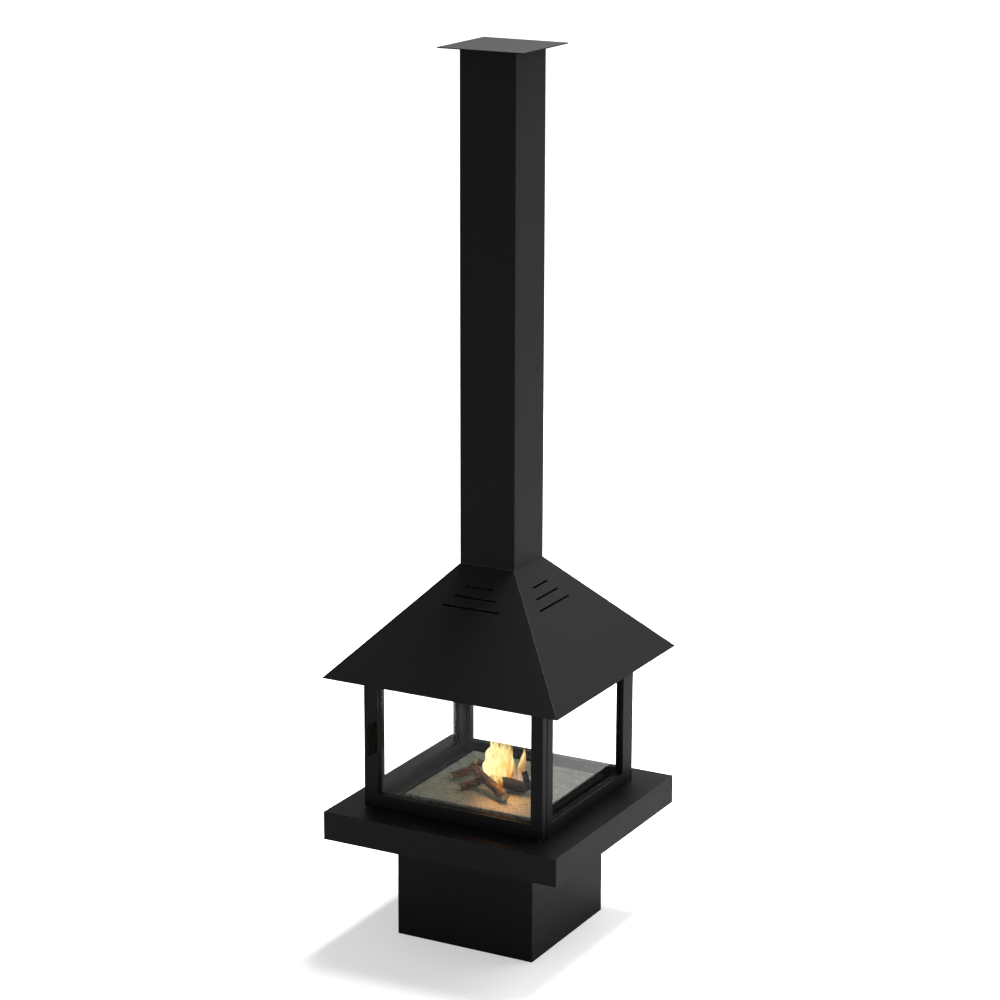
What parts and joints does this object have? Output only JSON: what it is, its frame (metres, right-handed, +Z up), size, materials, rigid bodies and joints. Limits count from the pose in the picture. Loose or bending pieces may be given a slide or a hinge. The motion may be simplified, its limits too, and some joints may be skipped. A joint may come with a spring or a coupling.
{
  "type": "bioethanol fireplace",
  "caption": "Square free-standing bioethanol fireplace on a pedestal, with a glazed firebox, hinged glass door, pyramid hood, tall square duct and sliding burner shutter.",
  "frame": {"origin": "on the floor, under the middle of the square pedestal", "axes": "+Z up, +X to the right along the door, -Y out through the door"},
  "size_m": [0.8, 0.8, 2.742],
  "materials": {
    "black_steel": "matt black powder coat",
    "handle_black": "matt black powder coat",
    "black_screw": "blackened steel",
    "raw_steel": "grey primer",
    "dark_tray": "heat-proof matt paint",
    "zinc": "zinc plated",
    "stainless": "brushed stainless, heat tinted",
    "magnet": "nickel plated",
    "bronze": "plain bearing bronze",
    "glass": "clear tempered glass",
    "seal": "black heat-proof seal",
    "floor_board": "pressed mineral board",
    "wick": "ceramic wool",
    "ceramic_log": "painted ceramic with bark relief"
  },
  "bodies": {
    "root": {"base_plate": "raw_steel", "support_columns": "raw_steel", "shell_cleats": "raw_steel", "pedestal_shell": "black_steel", "pedestal_top_plate": "raw_steel", "hearth_underside": "black_steel", "hearth_ribs": "raw_steel", "hearth_bolts": "zinc", "hearth_nuts": "zinc", "hearth_shell": "black_steel", "floor_tray": "dark_tray", "floor_panel": "floor_board", "burner_rim": "stainless", "burner_tank": "stainless", "burner_wick": "wick", "shutter_runners": "stainless", "log_front_long": "ceramic_log", "log_front_short": "ceramic_log", "log_rear_left": "ceramic_log", "log_upper": "ceramic_log", "log_charred": "ceramic_log", "log_leaning": "ceramic_log", "left_frame": "black_steel", "right_frame": "black_steel", "rear_frame": "black_steel", "left_glass": "glass", "right_glass": "glass", "rear_glass": "glass", "fixed_beads": "black_steel", "fixed_glass_seals": "seal", "fixed_bead_screws": "black_screw", "rear_joint_seals": "seal", "frame_bolts": "zinc", "frame_nuts": "zinc", "hinge_pins": "zinc", "catch_magnets": "magnet", "ceiling_plate": "black_steel", "hood_shell": "black_steel", "hood_collar": "raw_steel", "hood_brackets": "raw_steel", "bracket_screws": "zinc", "chimney_gasket": "seal", "chimney_duct": "black_steel", "cap_plate": "black_steel", "cap_spigot": "raw_steel"},
    "door": {"door_frame": "black_steel", "door_glass": "glass", "door_glass_seals": "seal", "door_beads": "black_steel", "door_bead_screws": "black_screw", "door_seals": "seal", "door_bushes": "bronze", "door_handle": "handle_black", "handle_screws": "black_screw", "catch_strikes": "magnet"},
    "shutter": {"burner_shutter": "stainless"}
  },
  "joints": [
    {"name": "door_hinge", "type": "hinge", "parent": "root", "child": "door", "pos_m": [0.2905, -0.2905, 0.642], "axis": [0, 0, 1], "range_deg": [0, 110]},
    {"name": "shutter_slide", "type": "slide", "parent": "root", "child": "shutter", "axis": [0, -1, 0], "range_m": [0, 0.055]}
  ]
}
